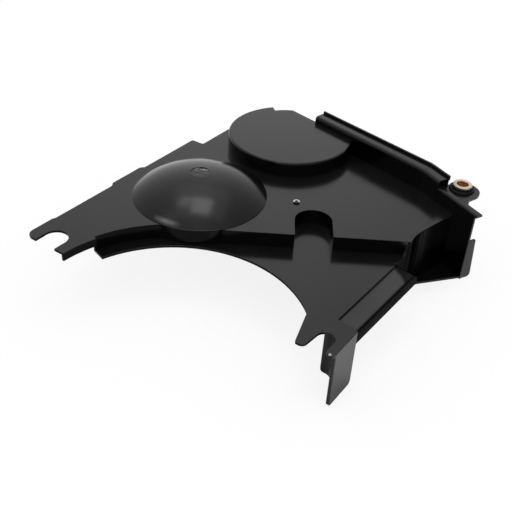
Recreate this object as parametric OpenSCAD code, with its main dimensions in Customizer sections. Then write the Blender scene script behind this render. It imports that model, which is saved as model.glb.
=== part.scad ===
// Timing cover: one moulded stepped shell with a rubber mounted fixing sleeve.
// Millimetres, Z up. The origin is the centre of the sleeve's lower seat face, level with the upper plate.

/* [Layout] */
// Reach from the sleeve to the left ear's notch, across the cover
ear_reach = 229; // [224:0.5:234]
// Reach from the sleeve to the fork's notch, to the front
fork_reach = 121.9; // [120:0.1:124]
// Reach from the sleeve to the disc's centre, to the back
disc_reach = 57.6; // [56:0.1:58.5]

/* [Shell] */
// Thickness of the moulded plates and walls
wall = 1.4; // [1.4:0.1:2]
// Drop from the upper plate to the lower plate
step_drop = 9; // [8:0.5:11]
// Depth of the short skirt along the left arm
arm_skirt = 5; // [4:0.5:7]

/* [Disc] */
// Diameter of the raised disc
disc_d = 80.9; // [78:0.1:83]
// Height of the disc over the upper plate
disc_h = 9.5; // [8:0.5:11]
// Radius of the disc's rounded top edge
disc_round = 1.2; // [0.6:0.1:1.8]
// How far the back of the rim is set in
disc_inset = 5; // [3:0.5:7]

/* [Dome] */
// Diameter of the dome where it leaves the upper plate
dome_d = 79.8; // [76:0.1:82]
// Height of the dome over the upper plate
dome_h = 15.1; // [12:0.5:19]
// Height of the upright edge at the dome's foot
dome_lip = 0.5; // [0.4:0.1:2]
// Diameter of the round gate mark on top of the dome
gate_d = 11.2; // [8:0.1:14]

/* [Pulley opening] */
// Radius of the open arc that clears the crankshaft pulley
arc_r = 69.35; // [68:0.05:71]
// Width of the ledge between the arc and the step
ledge_w = 8.1; // [7.5:0.1:9]

/* [Fixing notches] */
// Width of the open notch in the left ear
ear_notch = 14.4; // [12:0.1:15]
// Width of the open notch in the lower fork
fork_notch = 9.8; // [8:0.1:11]

/* [Recess] */
// Width of the round ended recess in the step
recess_w = 21.6; // [18:0.1:24]

/* [Side wall] */
// Height of the side wall over the upper plate
rim_h = 9.5; // [9:0.1:10.5]
// Depth of the side wall's back part under the upper plate
back_skirt = 12; // [10:0.5:16]
// Width of the flange on top of the side wall's front end
rim_w = 4.7; // [4:0.1:6]
// Height of the rail's ledge over the upper plate
rail_h = 14; // [13:0.1:15]
// Clear width of the rail's ledge
rail_w = 7.6; // [6:0.1:8]
// Height of the rail's outer lip over its ledge
lip_h = 1.5; // [1:0.1:3]
// Thickness of the rail's outer lip
lip_t = 1.2; // [1:0.1:2]

/* [Pocket and tabs] */
// Depth of the corner pocket under the upper plate
pocket_depth = 36.5; // [32:0.5:40]
// Depth of the front tab under the upper plate
tab_depth = 44; // [40:0.5:48]
// Depth of the curved wall round the fork notch under the upper plate
rib_depth = 36.2; // [32:0.2:40]
// Thickness of the front tab
tab_t = 2; // [1.6:0.1:2.4]

/* [Fixing sleeve] */
// Bore of the fixing sleeve
sleeve_bore = 6.8; // [6.4:0.1:7.2]
// Outside diameter of the sleeve's body
sleeve_d = 9.4; // [9:0.1:9.8]
// Diameter of the flange on the sleeve's upper end
sleeve_flange_d = 11.4; // [10.6:0.1:12]
// Thickness of the sleeve's flange
sleeve_flange_t = 1.2; // [0.8:0.1:1.4]
// Length of the fixing sleeve
sleeve_l = 12.5; // [12:0.1:13.5]
// Diameter of the grommet's flanges
grommet_d = 15.2; // [14.6:0.1:16.4]
// Diameter of the grommet's neck under the sleeve's flange
neck_d = 12.2; // [11:0.1:13]
// Diameter of the hole in the ear that holds the grommet
ear_hole_d = 12; // [11.6:0.1:12.4]
// Outside radius of the fixing ear
ear_r = 9.5; // [9.2:0.1:10.4]
// Top of the fixing ear over the upper plate
ear_top = 9.1; // [8.8:0.1:9.3]

/* [Hidden] */
$fn = 96;
// Depth by which joined forms reach into each other
bite = 0.1;
// Reach of the cutting forms, past every edge of the cover
far = 300;

// Direction in which the cover slides on to its notches
slide = 57;
// Centres in plan
ear_at = [-ear_reach, -63.9];
fork_at = [-83.9, -fork_reach];
disc_at = [-102.7, disc_reach];
dome_at = [-155.8, -9.2];
pulley_at = [-159.7, -120.5];
recess_at = [-88.5, -30.5];
nub_at = [-98.3, -12.3];

// Levels
low = -step_drop;
low_under = low - wall;
shoulder = low - 1.8;
skirt_foot = low - 11;
ridge_end = low + 0.3;
rail_under = rail_h - wall;

// Front step of the upper plate
step_y = -46.4;
step_r = arc_r + ledge_w;
step_x = pulley_at.x + sqrt(step_r * step_r - (step_y - pulley_at.y) * (step_y - pulley_at.y));
arm_r = step_r - 2.3;
ledge_end = 129.2;
arm_end = 146;
fork_turn = 14.9;

disc_r = disc_d / 2;
dome_r = dome_d / 2;
dome_rise = dome_h - dome_lip;
dome_ball = (dome_r * dome_r + dome_rise * dome_rise) / (2 * dome_rise);
dome_mid = dome_h - dome_ball;
recess_r = recess_w / 2;

// Side wall in plan, along its inner face from back to front
wall_back = [-101.6, 90.8];
wall_bend = [-22.5, 11.7];
wall_front = [2.4, -29.2];
wall_line = [wall_back, wall_bend, wall_front];
rail_back = [-86, 75.2];
rail_front = 15.1;
lead = unit(wall_bend - wall_back);
tail = unit(wall_front - wall_bend);
front_run = norm(wall_front - wall_bend);

// Fixing ear: its middle, and how far that is from the middle of the side wall
ear_mid = [0.8, -2];
ear_root = (ear_mid - wall_bend) * left(tail) - wall / 2;

// Sloping shoulder beside the lower plate
shoulder_at = [-45.5, -61.6];
shoulder_turn = 55.3;
shoulder_up = 12;
shoulder_down = (shoulder_at - fork_at) * turn(shoulder_turn) - 13.2;
shoulder_edge = -0.4;
shoulder_w = 10.9;
shoulder_fall = 8;
shoulder_round = 9;

// Right edge of the upper plate, then the ridge that falls to the lower plate and follows its edge
plate_corner = [-6.1, -15.2];
plate_front = [-34.4, -47.1];
ridge_edge = shoulder_edge + 0.2;
ridge_foot = by_shoulder(13.5, ridge_edge);
deep_line = concat(
    [plate_corner + [0.7, 0.7]],
    curve([-24.6, -32.7], [-31.6, -39.4], plate_front, 5)
);
ridge_line = concat(
    [deep_line[4]],
    curve(plate_front, by_shoulder(16.5, ridge_edge), ridge_foot, 3),
    [by_shoulder(6, ridge_edge)]
);

function unit(v) = v / norm(v);
function left(v) = [-v.y, v.x];
function turn(a) = [cos(a), sin(a)];
function by_shoulder(u, v) = shoulder_at + u * turn(shoulder_turn) - v * left(turn(shoulder_turn));
function on_slide(at, u, v) = at + u * turn(slide) + v * left(turn(slide));
function leg(p, i) = unit(p[min(i + 1, len(p) - 1)] - p[min(i, len(p) - 2)]);
function mid(p, i) = unit(left(leg(p, max(i - 1, 0))) + left(leg(p, i)));
function beside(p, i, w) = p[i] + mid(p, i) * w / (mid(p, i) * left(leg(p, i)));
function side(p, w) = [for (i = [0:len(p) - 1]) beside(p, i, w)];
function back(p) = [for (i = [len(p) - 1:-1:0]) p[i]];
function band(p, a, b) = concat(side(p, a), back(side(p, b)));
function on_curve(a, b, c, t) = (1 - t) * (1 - t) * a + 2 * t * (1 - t) * b + t * t * c;
function curve(a, b, c, n) = [for (i = [0:n]) on_curve(a, b, c, i / n)];
function arc(at, r, from, to, n) = [for (i = [0:n]) at + r * turn(from + (to - from) * i / n)];

// Rounds each corner of an outline: [x, y, radius]
function spot(c) = [c.x, c.y];
function bend(c, i) = let (
    p = spot(c[i]),
    a = unit(spot(c[(i + len(c) - 1) % len(c)]) - p),
    b = unit(spot(c[(i + 1) % len(c)]) - p),
    half = acos(a * b) / 2,
    r = c[i][2],
    m = p + unit(a + b) * r / sin(half),
    s = p + a * r / tan(half) - m,
    e = p + b * r / tan(half) - m,
    f = atan2(s.y, s.x),
    sweep = atan2(s.x * e.y - s.y * e.x, s * e)
) r == 0 ? [p] : [for (k = [0:5]) m + r * turn(f + sweep * k / 5)];
function rounded(c) = [for (i = [0:len(c) - 1]) each bend(c, i)];
function corner(p, r) = [p.x, p.y, r];

// Outline of the upper plate before its openings
upper_edge = rounded([
    corner(on_slide(ear_at, -7.4, 15), 5),
    corner(on_slide(ear_at, 12, 15), 1),
    corner(on_slide(ear_at, 14, 14.2), 1),
    corner(on_slide(ear_at, 59, 14.2), 1),
    corner(on_slide(ear_at, 62, 16.2), 1.5),
    corner(on_slide(ear_at, 86, 16.2), 1.5),
    corner(on_slide(ear_at, 88.5, 14.2), 1),
    corner(on_slide(ear_at, 135.8, 14.2), 1.5),
    corner(on_slide(ear_at, 135.8, 5.5), 1.5),
    corner(on_slide(ear_at, 164, 5.5), 1),
    corner(disc_at, 0),
    corner(side(wall_line, wall / 2)[0] + [8, -8], 0),
    corner(side(wall_line, wall / 2)[1], 0),
    corner(plate_corner + [0.6, 0.3], 0),
    corner(side(deep_line, -wall / 2)[1], 0),
    corner(side(deep_line, -wall / 2)[3], 0),
    corner(side(deep_line, -wall / 2)[5], 0),
    corner([side(deep_line, -wall / 2)[5].x - 0.5, step_y], 0),
    corner([step_x - 4, step_y], 0),
    corner(pulley_at, 0),
    corner(on_slide(ear_at, -7.4, -19), 0),
]);

// Outline of the lower plate before its openings
lower_edge = rounded([
    corner([-150, step_y + wall / 2], 0),
    corner([-36.5, step_y + wall / 2], 0),
    corner(side(ridge_line, -wall / 2)[1], 0),
    corner(side(ridge_line, -wall / 2)[4], 0),
    corner(by_shoulder(6.6, shoulder_edge - 0.7), 0),
    corner(by_shoulder(4, shoulder_edge), 0),
    corner(by_shoulder(3.4 - shoulder_down, shoulder_edge), 0),
    corner(on_slide(fork_at, 14.6, bite - 10.1), 0),
    corner(on_slide(fork_at, -9, bite - 10.1), 1.5),
    corner(on_slide(fork_at, -9, -fork_notch / 2), 2.4),
    corner(on_slide(fork_at, 0, -fork_notch / 2), 0),
    corner(on_slide(fork_at, 0, fork_notch / 2), 0),
    corner(on_slide(fork_at, -11, fork_notch / 2 + 1), 3),
    corner(on_slide(fork_at, -11, 10.8), 1.2),
    corner(pulley_at + arc_r * turn(fork_turn), 0),
    corner([-120, -105], 0),
    corner([-150, -70], 0),
]);

module sector(from, to) {
    polygon(concat([pulley_at], arc(pulley_at, 130, from, to, 4)));
}

module slot(at, w) {
    translate(at) circle(d = w);
    translate(at) rotate(slide) translate([-40, bite - w / 2]) square([40, w - 2 * bite]);
}

module recess_plan(r) {
    translate(recess_at) circle(r = r);
    translate([recess_at.x - r, step_y - 1]) square([2 * r, recess_at.y - step_y + 1]);
}

module upper_plan() {
    difference() {
        polygon(upper_edge);
        translate(pulley_at) circle(r = arm_r);
        intersection() {
            translate(pulley_at) circle(r = step_r);
            sector(ledge_end, 40);
        }
        recess_plan(recess_r);
        slot(ear_at, ear_notch);
    }
}

module lower_plan() {
    difference() {
        union() {
            polygon(lower_edge);
            recess_plan(recess_r + wall / 2);
            intersection() {
                translate(pulley_at) circle(r = step_r + wall / 2);
                sector(ledge_end, 60);
            }
        }
        intersection() {
            translate(pulley_at) circle(r = arc_r);
            sector(150, fork_turn);
        }
        translate(fork_at) circle(d = fork_notch);
    }
}

// Upright wall between the two plates, in plan
module step_plan() {
    intersection() {
        difference() {
            translate(pulley_at) circle(r = step_r + wall);
            translate(pulley_at) circle(r = step_r);
        }
        sector(ledge_end, 60);
        union() {
            translate([-far, -far]) square([far + dome_at.x, 2 * far]);
            translate([dome_at.x - 1, step_y]) square(far);
        }
    }
    difference() {
        union() {
            translate([step_x - 4, step_y]) square([-35.4 - step_x + 4, wall]);
            intersection() {
                recess_plan(recess_r + wall);
                translate([recess_at.x - 40, step_y]) square(80);
            }
        }
        recess_plan(recess_r);
        translate(pulley_at) circle(r = step_r);
    }
}

module arm_plan() {
    intersection() {
        difference() {
            translate(pulley_at) circle(r = arm_r + wall);
            translate(pulley_at) circle(r = arm_r);
        }
        sector(arm_end, ledge_end - 3);
        upper_plan();
    }
}

module plates() {
    translate([0, 0, -wall]) linear_extrude(wall) upper_plan();
    translate([0, 0, low_under]) linear_extrude(wall) lower_plan();
    translate([0, 0, low_under]) linear_extrude(step_drop + wall - bite) step_plan();
    translate([0, 0, -arm_skirt]) linear_extrude(arm_skirt - bite) arm_plan();
}

// Solid of revolution of the disc, with its rounded top edge
module disc_body(r) {
    translate([disc_at.x, disc_at.y, 0]) rotate_extrude() union() {
        translate([0, -wall]) square([r, wall + disc_h - disc_round]);
        translate([0, -wall]) square([r - disc_round, wall + disc_h]);
        translate([r - disc_round, disc_h - disc_round]) circle(r = disc_round, $fn = 48);
    }
}

// Part of the plan in which the disc's rim is set in
module disc_notch(shift) {
    translate([disc_at.x, disc_at.y, -20]) linear_extrude(50)
        polygon([
            25 * turn(108) + shift * left(turn(108)),
            60 * turn(108) + shift * left(turn(108)),
            80 * turn(60),
            60 * turn(0),
            25 * turn(10)
        ]);
}

// Everything on the plate's side of a line beside the side wall
module plate_side(w) {
    translate([0, 0, -60]) linear_extrude(120)
        polygon(concat(
            side(wall_line, w),
            [[-far, -far], [-far, far], side(wall_line, w)[0] + [-40, 40]]
        ));
}

module disc_shell() {
    intersection() {
        union() {
            difference() {
                disc_body(disc_r);
                disc_notch(0);
            }
            disc_body(disc_r - disc_inset);
        }
        plate_side(wall - bite);
    }
}

module disc_hollow() {
    intersection() {
        union() {
            difference() {
                translate([disc_at.x, disc_at.y, -10])
                    cylinder(r = disc_r - wall, h = 10 + disc_h - wall);
                disc_notch(wall);
            }
            translate([disc_at.x, disc_at.y, -10])
                cylinder(r = disc_r - disc_inset - wall, h = 10 + disc_h - wall);
        }
        plate_side(bite);
    }
}

module dome_cap(ball, r, top) {
    translate([dome_at.x, dome_at.y, 0]) rotate_extrude() intersection() {
        translate([0, dome_mid]) circle(r = ball, $fn = 180);
        translate([0, -wall]) square([r, wall + top]);
    }
}

// Dome with the round front that stands over the ledge
module dome_shell() {
    dome_cap(dome_ball, dome_r, dome_h + 1);
    translate([dome_at.x, dome_at.y, low_under])
        cylinder(r = dome_r, h = step_drop + wall - bite, $fn = 180);
}

module dome_hollow() {
    dome_cap(dome_ball - wall, dome_r - wall, dome_h - wall - bite);
    translate([dome_at.x, dome_at.y, low_under - 1])
        cylinder(r = dome_r - wall, h = step_drop + 1 + wall / 2, $fn = 180);
}

module gate_mark() {
    translate([dome_at.x, dome_at.y, dome_h - 0.6]) cylinder(d = gate_d, h = 2);
}

module gate_nub() {
    translate([nub_at.x, nub_at.y, -bite]) difference() {
        union() {
            cylinder(d = 3, h = 0.9);
            translate([0, 0, 0.5]) rotate_extrude() translate([1.5, 0]) circle(r = 0.6, $fn = 32);
        }
        translate([0, 0, 0.4]) cylinder(d = 1.6, h = 1);
    }
}

// A cross section drawn as offset and height, run straight from one point to another
module along(from, to) {
    run = to - from;
    translate([from.x, from.y, 0]) rotate([0, 0, atan2(run.y, run.x)]) rotate([90, 0, 90])
        linear_extrude(norm(run)) children();
}

// Side wall with its rail: upright wall, outward ledge and outer lip
module rail_section() {
    polygon(concat(
        [[0, -back_skirt], [0, rail_h - 2]],
        arc([2, rail_h - 2], 2, 162, 90, 4),
        [
            [rail_w, rail_h],
            [rail_w, rail_h + lip_h],
            [rail_w + lip_t, rail_h + lip_h],
            [rail_w + lip_t, rail_under],
            [wall, rail_under],
            [wall, -back_skirt]
        ]
    ));
}

module rim_section() {
    polygon(concat(
        [[bite, rim_h - wall - 0.4]],
        arc([1.5 + bite, rim_h - 1.5], 1.5, 180, 90, 5),
        arc([rim_w - 1, rim_h - 1], 1, 90, 0, 4),
        [[rim_w, rim_h - wall - 0.4]]
    ));
}

module side_wall() {
    along(rail_back, wall_bend + 0.8 * lead) rail_section();
    along(wall_bend - 0.8 * tail, wall_bend + rail_front * tail) translate([0, -bite]) rail_section();
    // Skirt under the disc's straight side
    translate([0, 0, -back_skirt]) linear_extrude(back_skirt - bite)
        polygon(band([wall_back, rail_back + lead], bite, wall - bite));
    // Front end, its lower edge falling to the pocket
    translate([wall_bend.x, wall_bend.y, 0]) rotate([0, 0, atan2(tail.y, tail.x)])
        translate([0, wall - bite, 0]) rotate([90, 0, 0]) linear_extrude(wall - 3 * bite)
            polygon([
                [2, -5],
                [2, 0.5 - back_skirt],
                [22, -pocket_depth],
                [front_run, -pocket_depth],
                [front_run, rim_h - wall / 2],
                [rail_front - 2, rim_h - wall / 2],
                [rail_front - 2, -5]
            ]);
    along(wall_bend + (rail_front - 1) * tail, wall_front + 1.4 * tail) rim_section();
    // Web that closes the rail's front end down to the ear
    along(wall_bend + (rail_front - wall) * tail, wall_bend + (rail_front - bite) * tail)
        translate([wall / 2, ear_top - wall / 2])
            square([rail_w + lip_t - wall, rail_h - ear_top]);
}

// Return flange at the front end of the side wall
module end_tab() {
    along(wall_front - wall * tail, wall_front + bite * tail)
        polygon(concat(
            [[wall / 3, 0.4 - pocket_depth], [wall / 3, low - 0.5], [5.8, low - 0.5]],
            arc([5.4, 2.6 - pocket_depth], 2.4, 4, -90, 5)
        ));
}

// Fixing ear beside the side wall, wider towards the front
module ear() {
    translate([0, 0, ear_top - wall]) linear_extrude(wall) difference() {
        union() {
            translate(ear_mid) circle(r = ear_r);
            translate(ear_mid) rotate(atan2(tail.y, tail.x)) polygon([
                [bite - ear_r, 0],
                [bite - ear_r, -ear_root],
                [ear_r + 4, -ear_root],
                [ear_r + 3.6, -7.6],
                [ear_r + 1.4, -5.6],
                [ear_r + 0.4, -3.4],
                [ear_r - bite, 0]
            ]);
        }
        circle(d = ear_hole_d);
    }
}

// Deep corner pocket: its back wall and its floor
module pocket() {
    translate([0, 0, bite - pocket_depth]) linear_extrude(pocket_depth - bite)
        polygon(band(deep_line, -wall, 0));
    translate([0, 0, 3 * bite - pocket_depth]) linear_extrude(wall)
        polygon([
            plate_corner + [-1, 0.4],
            plate_corner + [0.9, 0.4],
            wall_front - 0.6 * tail + wall / 2 * left(tail),
            wall_front - 0.6 * tail,
            [-24.7, -37.4],
            [-30.4, -39],
            [-28, -36.6]
        ]);
}

// Ridge from the upper plate down to the shoulder, its top falling in an S
module ridge() {
    run = ridge_foot - plate_front;
    long = norm(run);
    intersection() {
        translate([0, 0, skirt_foot]) linear_extrude(-skirt_foot)
            polygon(band(ridge_line, -bite - 1.7, -bite));
        translate([plate_front.x, plate_front.y, 0]) rotate([0, 0, atan2(run.y, run.x)])
            translate([0, 15, 0]) rotate([90, 0, 0]) linear_extrude(30)
                polygon(concat(
                    [[-9, -bite]],
                    [
                        for (i = [0:10])
                            [long * i / 12 - 0.6, (ridge_end + bite) * (1 - cos(18 * i)) / 2 - bite]
                    ],
                    [[long + 12, ridge_end], [long + 12, -30], [-9, -30]]
                ));
    }
}

// Sloping shoulder under the lower plate's edge, with its rounded outer edge and skirt
function on_shoulder(v) = shoulder - (v - shoulder_edge) * tan(shoulder_fall);
module shoulder_section() {
    r = 2;
    mid = [shoulder_w - r, on_shoulder(shoulder_w - r) - r / cos(shoulder_fall)];
    polygon(concat(
        [
            [shoulder_edge - wall, low - wall / 2],
            [shoulder_edge - bite, low - wall / 2],
            [shoulder_edge - bite, on_shoulder(shoulder_edge - bite)]
        ],
        arc(mid, r, 90 - shoulder_fall, 0, 7),
        [
            [shoulder_w, skirt_foot],
            [shoulder_w - wall, skirt_foot],
            [shoulder_w - wall, mid.y],
            [mid.x, on_shoulder(mid.x) - wall - 0.3],
            [shoulder_edge - wall, on_shoulder(shoulder_edge - wall) - wall]
        ]
    ));
}

// Seen from its side, the shoulder rounds over at its upper end and dies out at the fork
module shoulder_run() {
    top = by_shoulder(shoulder_up, 0);
    end = by_shoulder(-shoulder_down, 0);
    long = shoulder_up + shoulder_down;
    intersection() {
        along(top, end) shoulder_section();
        translate([top.x, top.y, on_shoulder(0)]) rotate([0, 0, shoulder_turn + 180])
            rotate([-shoulder_fall, 0, 0]) translate([0, 20, 0]) rotate([90, 0, 0])
                linear_extrude(40) union() {
                    translate([-5, -40]) square([long + 10, 40 - shoulder_round]);
                    translate([shoulder_round - 1, -40]) square([long + 10, 43]);
                    translate([shoulder_round - 1, 0.5 - shoulder_round]) circle(r = shoulder_round);
                }
    }
}

// Front tab hung from the fork's right prong, drawn along the slide direction
module front_tab() {
    long = 21.7;
    translate([fork_at.x, fork_at.y, 0]) rotate([0, 0, slide]) translate([-7.4, -10.1, 0]) intersection() {
        translate([0, tab_t, 0]) rotate([90, 0, 0]) linear_extrude(tab_t) union() {
            translate([0, 2.5 - tab_depth]) square([long, tab_depth - 2.5 + low - bite]);
            translate([2.5, -tab_depth]) square([long - 5, 5]);
            translate([2.5, 2.5 - tab_depth]) circle(r = 2.5);
            translate([long - 2.5, 2.5 - tab_depth]) circle(r = 2.5);
        }
        translate([0, 0, -tab_depth - 1]) linear_extrude(tab_depth + 1) union() {
            translate([tab_t / 2, 0]) square([long, tab_t]);
            translate([tab_t / 2, tab_t / 2]) circle(d = tab_t);
        }
    }
}

// Curved wall that follows the round end of the fork's notch
module notch_wall() {
    r = fork_notch / 2 + bite;
    intersection() {
        translate([0, 0, -rib_depth]) linear_extrude(rib_depth + low - wall / 2) intersection() {
            translate(fork_at) difference() {
                circle(r = r + wall);
                circle(r = r);
            }
            translate(fork_at) rotate(slide) translate([0, -20]) square([20, 40]);
        }
        translate([fork_at.x, fork_at.y + 20, 0]) rotate([90, 0, 0]) linear_extrude(40) union() {
            translate([0, 2.5 - rib_depth]) square([20, rib_depth]);
            translate([2.5, -rib_depth]) square([20, 5]);
            translate([2.5, 2.5 - rib_depth]) circle(r = 2.5);
        }
    }
}

module cover() {
    color([0.06, 0.06, 0.065]) union() {
        difference() {
            union() {
                plates();
                disc_shell();
                dome_shell();
            }
            disc_hollow();
            dome_hollow();
            gate_mark();
        }
        gate_nub();
        side_wall();
        end_tab();
        ear();
        pocket();
        ridge();
        shoulder_run();
        front_tab();
        notch_wall();
    }
}

module bush_grommet() {
    color([0.09, 0.09, 0.09]) rotate_extrude() polygon([
        [sleeve_d / 2, ear_top - wall - 2.4],
        [grommet_d / 2 - 0.5, ear_top - wall - 2.4],
        [grommet_d / 2, ear_top - wall - 1.9],
        [grommet_d / 2, ear_top - wall],
        [ear_hole_d / 2, ear_top - wall],
        [ear_hole_d / 2, ear_top],
        [grommet_d / 2, ear_top],
        [grommet_d / 2, ear_top + 0.7],
        [grommet_d / 2 - 0.5, ear_top + 1.2],
        [neck_d / 2, ear_top + 1.2],
        [neck_d / 2, sleeve_l - sleeve_flange_t],
        [sleeve_d / 2, sleeve_l - sleeve_flange_t]
    ]);
}

module bush_sleeve() {
    color([0.78, 0.62, 0.25]) rotate_extrude() polygon([
        [sleeve_bore / 2, 0],
        [sleeve_d / 2 - 0.3, 0],
        [sleeve_d / 2, 0.3],
        [sleeve_d / 2, sleeve_l - sleeve_flange_t],
        [sleeve_flange_d / 2, sleeve_l - sleeve_flange_t],
        [sleeve_flange_d / 2, sleeve_l - 0.3],
        [sleeve_flange_d / 2 - 0.3, sleeve_l],
        [sleeve_bore / 2 + 0.3, sleeve_l],
        [sleeve_bore / 2, sleeve_l - 0.3]
    ]);
}

cover();
bush_grommet();
bush_sleeve();
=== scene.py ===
import math

import bpy
from mathutils import Matrix, Vector


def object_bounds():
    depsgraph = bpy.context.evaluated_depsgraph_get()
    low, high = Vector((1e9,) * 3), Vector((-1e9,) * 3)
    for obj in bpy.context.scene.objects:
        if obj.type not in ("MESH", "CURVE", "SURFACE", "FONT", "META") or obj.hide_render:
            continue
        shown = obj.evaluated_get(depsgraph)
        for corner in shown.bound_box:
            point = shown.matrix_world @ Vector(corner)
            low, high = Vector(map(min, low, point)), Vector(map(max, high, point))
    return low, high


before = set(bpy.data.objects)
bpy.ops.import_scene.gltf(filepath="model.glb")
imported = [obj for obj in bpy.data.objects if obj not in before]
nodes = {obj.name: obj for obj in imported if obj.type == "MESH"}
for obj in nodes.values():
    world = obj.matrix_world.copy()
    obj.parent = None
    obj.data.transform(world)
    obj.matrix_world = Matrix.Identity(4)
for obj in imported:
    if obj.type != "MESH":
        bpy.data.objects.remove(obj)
cad_lo, cad_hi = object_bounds()
scene = bpy.context.scene
scene.view_settings.view_transform = "Standard"

# Places on the cover, in metres: the shoulder has its own axes, along it and out from it
SHOULDER_AT = Vector((-0.0455, -0.0616, 0))
SHOULDER_ALONG = Vector((0.569, 0.822, 0))
SHOULDER_OUT = Vector((0.822, -0.569, 0))
SHOULDER_REACH = (-0.056, 0.001)
SHOULDER_WIDTH = (0.0002, 0.0088)
SHOULDER_LEVEL = (-0.0145, -0.0103)
SHOULDER_END = (0.0105, 0.012)
CORNER_WIDTH = (0.0002, 0.0115)
CORNER_ROUNDING = (0.004, 0.0115)
CORNER_SLANT = 0.9
SKIRT_ALONG = (-0.057, 0.022)
SKIRT_ACROSS = (-0.001, 0.0115)
SKIRT_OUTWARD_FROM = (0.006, 0.002)
SKIRT_END_FROM = 0.003
TAB_AT = (-0.0735, -0.1288, -0.02)
TAB_RADIUS = 0.012
DOME_AT = Vector((-0.1558, -0.0092, 0))
DOME_FOOT = (0.0393, 0.0401)
DOME_FOOT_LEVEL = (0.00004, 0.0005)
DOME_FOOT_HIGHLIGHT_AT = (-0.1716, -0.0438, 0.002)
DOME_FOOT_HIGHLIGHT_REACH = 0.009
DOME_FOOT_HIGHLIGHT_BAND = (0.038, 0.0383)
GATE_MARK_AT = (-0.1558, -0.0092, 0.0145)
GATE_MARK_RADIUS = 0.0054
GATE_GLINTS_FROM = (0.0012, 0.0026)
NUB_AT = (-0.0983, -0.0123, 0.0006)
NUB_RING = (0.001, 0.0022)
NUB_BACK = (-0.0014, -0.0004)
NUB_LEVEL = (0.0002, 0.0004)
PRONG_TIP_AT = (-0.0821, -0.1329, -0.0092)
PRONG_TIP_RADIUS = 0.0005
BACKWARD = (0, 1, 0)

# Colours painted on the plastic, linear: painted highlights, a lighter grey, and rubbed
# wear with painted highlights on the edges
EDGE_WEAR_AND_HIGHLIGHT = (0.08, 0.08, 0.081, 1)
SHOULDER_LIGHTER_GREY = (0.031, 0.031, 0.0312, 1)
DOME_FOOT_PAINTED_LIGHT = (0.034, 0.034, 0.0342, 1)
DOME_FOOT_HIGHLIGHT = (0.14, 0.14, 0.14, 1)
GATE_GLINT = (0.16, 0.16, 0.16, 1)
PAINTED_GLINT = (0.5, 0.5, 0.5, 1)
WHITE = (1, 1, 1, 1)

# The middle of a noise, where its clouds lie
CLOUD = (0.3, 0.7)


# Node helpers
def new_material(name):
    mat = bpy.data.materials.new(name)
    mat.use_nodes = True
    tree = mat.node_tree
    tree.nodes.clear()
    out = tree.nodes.new("ShaderNodeOutputMaterial")
    return mat, tree, out


def add(tree, kind, inputs=None, **props):
    node = tree.nodes.new(kind)
    for key, value in props.items():
        setattr(node, key, value)
    for key, value in (inputs or {}).items():
        if isinstance(value, bpy.types.NodeSocket):
            tree.links.new(value, node.inputs[key])
        else:
            node.inputs[key].default_value = value
    return node


def maths(tree, operation, *values):
    inputs = dict(enumerate(values))
    node = add(tree, "ShaderNodeMath", inputs, operation=operation)
    return node.outputs["Value"]


def vectors(tree, operation, *values):
    inputs = dict(enumerate(values))
    return add(tree, "ShaderNodeVectorMath", inputs, operation=operation).outputs


def axes_of(tree, vector):
    return add(tree, "ShaderNodeSeparateXYZ", {"Vector": vector}).outputs


def ramp(tree, fac, stops):
    node = add(tree, "ShaderNodeValToRGB", {"Fac": fac})
    points = node.color_ramp.elements
    points[0].position, points[0].color = stops[0][0], (*stops[0][1], 1)
    points[1].position, points[1].color = stops[-1][0], (*stops[-1][1], 1)
    for place, colour in stops[1:-1]:
        points.new(place).color = (*colour, 1)
    return node.outputs["Color"]


def noise(tree, where, scale, detail, roughness):
    return add(
        tree,
        "ShaderNodeTexNoise",
        {"Vector": where, "Scale": scale, "Detail": detail, "Roughness": roughness},
    ).outputs["Fac"]


def span(tree, value, limits, to_low, to_high):
    return add(
        tree,
        "ShaderNodeMapRange",
        {
            "Value": value,
            "From Min": limits[0],
            "From Max": limits[1],
            "To Min": to_low,
            "To Max": to_high,
        },
    ).outputs["Result"]


def times(tree, *values):
    product = values[0]
    for value in values[1:]:
        product = maths(tree, "MULTIPLY", product, value)
    return product


# One between two limits, fading to nothing outside them
def within(tree, value, limits, fade):
    low, high = limits
    return times(
        tree,
        span(tree, value, (low - fade, low), 0.0, 1.0),
        span(tree, value, (high, high + fade), 1.0, 0.0),
    )


# One inside a ball, fading to nothing outside it
def spot(tree, where, centre, radius, fade):
    away = vectors(tree, "DISTANCE", where, centre)["Value"]
    return span(tree, away, (radius, radius + fade), 1.0, 0.0)


# How far a point lies from an upright line, in plan
def plan_radius(tree, where, place):
    off = vectors(tree, "SUBTRACT", where, place)["Vector"]
    flat = vectors(tree, "MULTIPLY", off, (1, 1, 0))["Vector"]
    return vectors(tree, "LENGTH", flat)["Value"]


# How far a point lies from a place, along one direction
def reach(tree, where, place, direction):
    off = vectors(tree, "SUBTRACT", where, place)["Vector"]
    return vectors(tree, "DOT_PRODUCT", off, direction)["Value"]


def blend(tree, share, first, second):
    return add(
        tree,
        "ShaderNodeMix",
        {"Factor": share, "A": first, "B": second},
        data_type="RGBA",
    ).outputs["Result"]


def bump(tree, strength, distance, height, normal=None):
    inputs = {"Strength": strength, "Distance": distance, "Height": height}
    if normal is not None:
        inputs["Normal"] = normal
    return add(tree, "ShaderNodeBump", inputs).outputs["Normal"]


# Normal rounded at outer edges: inner corners, which are half shut in, stay sharp
def rounded_normal(tree, radius):
    soft = add(tree, "ShaderNodeBevel", {"Radius": radius}, samples=6)
    true = add(tree, "ShaderNodeNewGeometry").outputs["Normal"]
    shut = add(
        tree, "ShaderNodeAmbientOcclusion", {"Distance": 4 * radius}, samples=8
    ).outputs["AO"]
    outer = span(tree, shut, (0.8, 0.95), 0.0, 1.0)
    return add(
        tree,
        "ShaderNodeMix",
        {"Factor": outer, "A": true, "B": soft.outputs["Normal"]},
        data_type="VECTOR",
    ).outputs["Result"]


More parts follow.
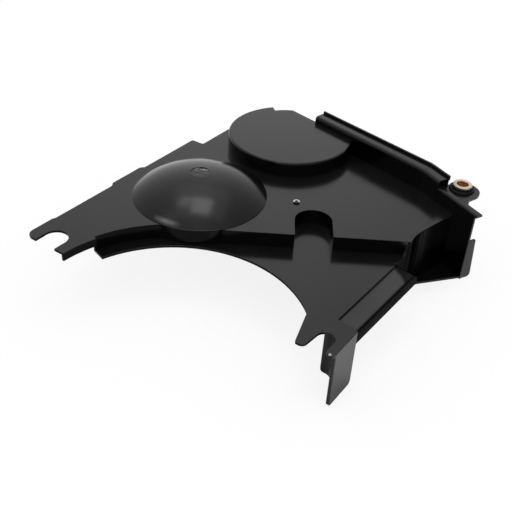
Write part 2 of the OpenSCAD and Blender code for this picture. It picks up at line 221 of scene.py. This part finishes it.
# One where a rounded normal leaves the true one, which is along the edges
def edge_mask(tree, normal):
    true = add(tree, "ShaderNodeNewGeometry").outputs["Normal"]
    alike = vectors(tree, "DOT_PRODUCT", normal, true)["Value"]
    return span(tree, alike, (0.98, 0.75), 0.0, 1.0)


def finish_material(tree, out, inputs):
    shader = add(tree, "ShaderNodeBsdfPrincipled", inputs)
    tree.links.new(shader.outputs["BSDF"], out.inputs["Surface"])


# Moulded gloss plastic: faint flow clouding, fine grain and a torn gate scar, with walls
# painted darker as painted shade, a lighter grey on the shoulder and tab, rubbed edges,
# and painted highlights on edges, the dome's foot, the gate scar, the nub and a prong tip
def gloss_plastic():
    mat, tree, out = new_material("gloss_plastic")
    surface = add(tree, "ShaderNodeTexCoord").outputs
    where = surface["Object"]
    upward = axes_of(tree, surface["Normal"])["Z"]
    height = axes_of(tree, where)["Z"]
    soft = rounded_normal(tree, 0.0004)
    edge = edge_mask(tree, soft)
    cloud = noise(tree, where, 28.0, 4.0, 0.55)
    patchy = noise(tree, where, 260.0, 3.0, 0.6)
    torn = noise(tree, where, 420.0, 2.0, 0.5)
    fine = noise(tree, where, 900.0, 2.0, 0.6)
    # Walls are painted darker than faces that look up: painted shade on the walls
    shaded_walls = [(0.3, (0.0002, 0.0002, 0.0002)), (0.7, (0.0006, 0.0006, 0.0006))]
    lit_tops = [(0.3, (0.003, 0.003, 0.003)), (0.7, (0.0046, 0.0046, 0.0047))]
    colour = blend(
        tree,
        span(tree, upward, (0.5, 0.95), 0.0, 1.0),
        ramp(tree, cloud, shaded_walls),
        ramp(tree, cloud, lit_tops),
    )
    # Edges are painted pale in patches: rubbed wear and painted edge highlights
    edge_wear_and_glint = times(tree, edge, span(tree, patchy, (0.48, 0.66), 0.12, 1.0))
    colour = blend(tree, edge_wear_and_glint, colour, EDGE_WEAR_AND_HIGHLIGHT)
    # The shoulder rounds over towards its outer corner, and is dull there, without the
    # lighter grey
    along = reach(tree, where, SHOULDER_AT, SHOULDER_ALONG)
    across = reach(tree, where, SHOULDER_AT, SHOULDER_OUT)
    level = within(tree, height, SHOULDER_LEVEL, 0.0002)
    corner = maths(tree, "MULTIPLY_ADD", across, CORNER_SLANT, along)
    rounding = times(
        tree,
        within(tree, across, CORNER_WIDTH, 0.0005),
        level,
        span(tree, corner, CORNER_ROUNDING, 0.0, 1.0),
        span(tree, along, SHOULDER_END, 1.0, 0.0),
    )
    # The rest of the shoulder and the outer tab are painted a lighter grey in clouds
    shoulder = times(
        tree,
        within(tree, across, SHOULDER_WIDTH, 0.001),
        level,
        within(tree, along, SHOULDER_REACH, 0.008),
        span(tree, rounding, (0.0, 0.6), 1.0, 0.0),
    )
    tab = times(tree, spot(tree, where, TAB_AT, TAB_RADIUS, 0.006), 0.1)
    lighter_places = maths(tree, "MAXIMUM", shoulder, tab)
    lighter_grey = times(tree, lighter_places, span(tree, cloud, CLOUD, 0.6, 1.0))
    colour = blend(tree, lighter_grey, colour, SHOULDER_LIGHTER_GREY)
    # The dome's foot is painted pale all round, and brighter at one place at the front:
    # painted highlights
    radius = plan_radius(tree, where, DOME_AT)
    foot_painted_light = times(
        tree,
        within(tree, radius, DOME_FOOT, 0.0001),
        within(tree, height, DOME_FOOT_LEVEL, 0.00004),
    )
    colour = blend(tree, foot_painted_light, colour, DOME_FOOT_PAINTED_LIGHT)
    foot_highlight = times(
        tree,
        spot(tree, where, DOME_FOOT_HIGHLIGHT_AT, 0.0, DOME_FOOT_HIGHLIGHT_REACH),
        within(tree, radius, DOME_FOOT_HIGHLIGHT_BAND, 0.0016),
        span(tree, patchy, (0.3, 0.6), 0.6, 1.0),
    )
    colour = blend(tree, foot_highlight, colour, DOME_FOOT_HIGHLIGHT)
    # The gate mark is torn, with pale specks painted at its back: painted glints
    scar = spot(tree, where, GATE_MARK_AT, GATE_MARK_RADIUS, 0.0003)
    behind = reach(tree, where, GATE_MARK_AT, BACKWARD)
    glint_specks = times(
        tree,
        scar,
        span(tree, behind, GATE_GLINTS_FROM, 0.0, 1.0),
        span(tree, torn, (0.5, 0.6), 0.0, 1.0),
    )
    colour = blend(tree, glint_specks, colour, GATE_GLINT)
    # The nub's ring, on its top and back, and one prong's tip are painted pale: painted
    # highlights
    nub_glint = times(
        tree,
        within(tree, plan_radius(tree, where, NUB_AT), NUB_RING, 0.0002),
        span(tree, reach(tree, where, NUB_AT, BACKWARD), NUB_BACK, 0.0, 1.0),
        span(tree, height, NUB_LEVEL, 0.0, 1.0),
    )
    tip_glint = times(
        tree,
        spot(tree, where, PRONG_TIP_AT, PRONG_TIP_RADIUS, 0.0005),
        span(tree, torn, (0.35, 0.55), 0.2, 0.8),
    )
    colour = blend(tree, maths(tree, "MAXIMUM", nub_glint, tip_glint), colour, PAINTED_GLINT)
    gloss = span(tree, cloud, CLOUD, 0.15, 0.2)
    dulled = maths(tree, "MULTIPLY_ADD", rounding, 0.25, gloss)
    roughness = maths(tree, "MULTIPLY_ADD", edge, 0.1, dulled)
    grain = bump(tree, 0.03, 0.0002, fine, soft)
    scarred = bump(tree, times(tree, scar, 0.5), 0.001, torn, grain)
    lean = add(
        tree,
        "ShaderNodeVectorMath",
        {0: SHOULDER_ALONG, "Scale": times(tree, rounding, 0.55)},
        operation="SCALE",
    ).outputs["Vector"]
    leaning = vectors(tree, "ADD", scarred, lean)["Vector"]
    normal = vectors(tree, "NORMALIZE", leaning)["Vector"]
    finish_material(
        tree,
        out,
        {"Base Color": colour, "Roughness": roughness, "IOR": 1.47, "Normal": normal},
    )
    return mat


# Plastic of the outer skirt, almost without gloss so it stays dark: painted shade, with a
# rough, coarser grain
def dark_shaded_plastic():
    mat, tree, out = new_material("dark_shaded_plastic")
    where = add(tree, "ShaderNodeTexCoord").outputs["Object"]
    cloud = noise(tree, where, 40.0, 4.0, 0.55)
    greys = [(0.3, (0.0012, 0.0012, 0.0012)), (0.7, (0.0024, 0.0024, 0.0025))]
    grain = noise(tree, where, 1800.0, 2.0, 0.6)
    finish_material(
        tree,
        out,
        {
            "Base Color": ramp(tree, cloud, greys),
            "Roughness": span(tree, cloud, CLOUD, 0.55, 0.7),
            "Specular IOR Level": 0.04,
            "Normal": bump(tree, 0.1, 0.0002, grain),
        },
    )
    return mat


# Rubber: matt, with a dusty bloom and a soft moulded grain
def rubber():
    mat, tree, out = new_material("rubber")
    where = add(tree, "ShaderNodeTexCoord").outputs["Object"]
    soft = rounded_normal(tree, 0.0005)
    bloom = noise(tree, where, 160.0, 4.0, 0.6)
    greys = [(0.3, (0.003, 0.003, 0.003)), (0.75, (0.008, 0.008, 0.0085))]
    grain = noise(tree, where, 2200.0, 2.0, 0.6)
    finish_material(
        tree,
        out,
        {
            "Base Color": ramp(tree, bloom, greys),
            "Roughness": span(tree, bloom, CLOUD, 0.45, 0.62),
            "Specular IOR Level": 0.2,
            "Normal": bump(tree, 0.15, 0.0002, grain, soft),
        },
    )
    return mat


# Passivated yellow metal: straw flange and copper bore, with turning rings; the flange is
# painted darker on its left as painted shade, and the bore golden on its left as a painted
# highlight
def brass():
    mat, tree, out = new_material("brass")
    where = add(tree, "ShaderNodeTexCoord").outputs["Object"]
    soft = rounded_normal(tree, 0.0003)
    tint = noise(tree, where, 240.0, 3.0, 0.6)
    sideways = axes_of(tree, where)["X"]
    # Flange painted darker on its left: painted shade
    flange_shaded_left = blend(
        tree,
        span(tree, sideways, (-0.006, 0.001), 0.0, 1.0),
        ramp(tree, tint, [(0.25, (0.42, 0.36, 0.31)), (0.75, (0.7, 0.62, 0.52))]),
        ramp(tree, tint, [(0.25, (0.72, 0.64, 0.46)), (0.75, (0.88, 0.84, 0.72))]),
    )
    # Bore painted golden on its left: painted highlight
    bore_lit_left = blend(
        tree,
        span(tree, sideways, (-0.0018, 0.0012), 0.0, 1.0),
        ramp(tree, tint, [(0.25, (0.72, 0.55, 0.28)), (0.75, (0.92, 0.8, 0.52))]),
        ramp(tree, tint, [(0.25, (0.56, 0.29, 0.19)), (0.75, (0.78, 0.48, 0.32))]),
    )
    # The sleeve's axis is the frame's own
    radius = plan_radius(tree, where, (0, 0, 0))
    outside = span(tree, radius, (0.00345, 0.0038), 0.0, 1.0)
    rings = add(
        tree,
        "ShaderNodeTexWave",
        {"Vector": where, "Scale": 1400.0, "Distortion": 1.0, "Detail": 1.0},
        wave_type="RINGS",
        rings_direction="Z",
    ).outputs["Fac"]
    finish_material(
        tree,
        out,
        {
            "Base Color": blend(tree, outside, bore_lit_left, flange_shaded_left),
            "Roughness": span(tree, tint, CLOUD, 0.2, 0.34),
            "Metallic": 1.0,
            "Normal": bump(tree, 0.12, 0.0001, rings, soft),
        },
    )
    return mat


finishes = {"cover": gloss_plastic(), "bush_grommet": rubber(), "bush_sleeve": brass()}
for name, mat in finishes.items():
    data = nodes[name].data
    data.materials.clear()
    data.materials.append(mat)


# Faces of the shoulder's skirt and of its upper end, which take the dark plastic: painted
# shade
def on_skirt(face):
    off = face.center - SHOULDER_AT
    along, across = off.dot(SHOULDER_ALONG), off.dot(SHOULDER_OUT)
    beside = (
        SKIRT_ALONG[0] < along < SKIRT_ALONG[1]
        and SKIRT_ACROSS[0] < across < SKIRT_ACROSS[1]
    )
    past = along > SKIRT_OUTWARD_FROM[0] or across > SKIRT_OUTWARD_FROM[1]
    outward = past and face.normal.dot(SHOULDER_OUT) > 0.5
    upper_end = along > SKIRT_END_FROM and face.normal.dot(SHOULDER_ALONG) > 0.2
    return beside and (outward or upper_end)


data = nodes["cover"].data
data.materials.append(dark_shaded_plastic())
for face in data.polygons:
    if on_skirt(face):
        face.material_index = 1


# Level by kind of ray: seen by eye or through glass, seen in gloss, and as light
def by_ray(tree, seen, gloss, light):
    path = add(tree, "ShaderNodeLightPath").outputs
    direct = maths(tree, "MAXIMUM", path["Is Camera Ray"], path["Is Transmission Ray"])
    inner = add(
        tree, "ShaderNodeMix", {"Factor": path["Is Glossy Ray"], "A": light, "B": gloss}
    ).outputs["Result"]
    return add(
        tree, "ShaderNodeMix", {"Factor": direct, "A": inner, "B": seen}
    ).outputs["Result"]


# In gloss the white room is brightest at the back and dims to the front and the sides
ROOM_FRONT_TO_BACK = (0.48, 0.93)
ROOM_LEFT_TO_RIGHT = [
    (0.0, 0.6),
    (0.15, 0.68),
    (0.3, 0.84),
    (0.45, 1.0),
    (0.53, 1.0),
    (0.63, 0.8),
    (0.75, 0.62),
    (0.87, 0.46),
    (1.0, 0.4),
]


def make_world():
    world = bpy.data.worlds.new("studio")
    scene.world = world
    world.use_nodes = True
    tree = world.node_tree
    tree.nodes.clear()
    out = tree.nodes.new("ShaderNodeOutputWorld")
    facing = axes_of(tree, add(tree, "ShaderNodeTexCoord").outputs["Generated"])
    room = times(
        tree,
        span(tree, facing["Y"], (-1.0, 1.0), *ROOM_FRONT_TO_BACK),
        ramp(
            tree,
            span(tree, facing["X"], (-1.0, 1.0), 0.0, 1.0),
            [(place, (grey, grey, grey)) for place, grey in ROOM_LEFT_TO_RIGHT],
        ),
    )
    level = by_ray(tree, 1.0, room, 1.0)
    sky = add(tree, "ShaderNodeBackground", {"Color": WHITE, "Strength": level})
    tree.links.new(sky.outputs["Background"], out.inputs["Surface"])


# Pale floor just under the lowest edge, white to the eye with a faint shadow
FLOOR_COLOUR = (0.9, 0.9, 0.9, 1)
FLOOR_GAP = 0.0002
FLOOR_HALF = 6
FLOOR_SEEN_WHITE = 0.85
FRONT_LEFT_X = (-0.13, -0.06)
FRONT_LEFT_Y = (-0.06, 0.0)


def make_floor():
    mat, tree, out = new_material("floor")
    matt = add(tree, "ShaderNodeBsdfDiffuse", {"Color": FLOOR_COLOUR})
    shut = add(tree, "ShaderNodeAmbientOcclusion", {"Distance": 0.1}, samples=8)
    place = axes_of(tree, add(tree, "ShaderNodeNewGeometry").outputs["Position"])
    front_left = times(
        tree,
        span(tree, place["X"], FRONT_LEFT_X, 1.0, 0.0),
        span(tree, place["Y"], FRONT_LEFT_Y, 1.0, 0.0),
    )
    # In gloss it is painted dim below the part and at the front left: a painted shadow and
    # painted shade
    floor_gloss_painted_shadow = times(
        tree,
        span(tree, shut.outputs["AO"], (0.4, 1.0), 0.25, 1.0),
        span(tree, front_left, (0.0, 1.0), 1.0, 0.2),
    )
    level = by_ray(tree, 1.0, floor_gloss_painted_shadow, 1.0)
    white = add(tree, "ShaderNodeEmission", {"Color": WHITE, "Strength": level})
    share = by_ray(tree, FLOOR_SEEN_WHITE, 1.0, 0.0)
    both = add(
        tree,
        "ShaderNodeMixShader",
        {0: share, 1: matt.outputs["BSDF"], 2: white.outputs["Emission"]},
    )
    tree.links.new(both.outputs["Shader"], out.inputs["Surface"])
    h, z = FLOOR_HALF, cad_lo.z - FLOOR_GAP
    mesh = bpy.data.meshes.new("floor")
    mesh.from_pydata([(-h, -h, z), (h, -h, z), (h, h, z), (-h, h, z)], [], [(0, 1, 2, 3)])
    mesh.materials.append(mat)
    floor = bpy.data.objects.new("floor", mesh)
    scene.collection.objects.link(floor)


# Soft boxes: azimuth clockwise from +Y, elevation, distance, size, radiance
LIT_PLACE = Vector((-0.13, -0.02, 0))
SOFT_BOXES = {
    "top_box": (0, 78, 1.6, (1.5, 1.3), 0.25),
    "window_right": (5, 85, 1.5, (0.52, 0.55), 2.0),
    "window_left": (-57, 71, 1.5, (0.34, 0.3), 1.2),
    "window_low": (-103, 57, 1.5, (0.3, 0.3), 0.4),
}


def soft_box(name, azimuth, elevation, away, size, radiance):
    lamp = bpy.data.lights.new(name, "AREA")
    lamp.shape = "RECTANGLE"
    lamp.size, lamp.size_y = size
    lamp.energy = radiance * math.pi * size[0] * size[1]
    a, e = math.radians(azimuth), math.radians(elevation)
    to = Vector((math.sin(a) * math.cos(e), math.cos(a) * math.cos(e), math.sin(e)))
    ob = bpy.data.objects.new(name, lamp)
    ob.location = LIT_PLACE + to * away
    ob.rotation_mode = "QUATERNION"
    ob.rotation_quaternion = to.to_track_quat("Z", "Y")
    scene.collection.objects.link(ob)


# Camera at the photograph's place: tilted down, and rolled a little
CAMERA_AT = (-0.1202, -0.4157, 0.25)
CAMERA_TILT = math.radians(35.8)
CAMERA_ROLL = math.radians(-3.57)


def make_camera():
    tilt, roll = CAMERA_TILT, CAMERA_ROLL
    ahead = Vector((0, math.cos(tilt), -math.sin(tilt)))
    right = Vector((1, 0, 0))
    down = Vector((0, -math.sin(tilt), -math.cos(tilt)))
    axis_x = math.cos(roll) * right + math.sin(roll) * down
    axis_y = math.sin(roll) * right - math.cos(roll) * down
    turn = Matrix((axis_x, axis_y, -ahead)).transposed()
    lens = bpy.data.cameras.new("camera")
    lens.sensor_width = 36
    lens.lens = 56.25
    lens.clip_start = 0.01
    camera = bpy.data.objects.new("camera", lens)
    camera.matrix_world = Matrix.Translation(CAMERA_AT) @ turn.to_4x4()
    scene.collection.objects.link(camera)
    scene.camera = camera


make_world()
make_floor()
for name, setting in SOFT_BOXES.items():
    soft_box(name, *setting)
make_camera()
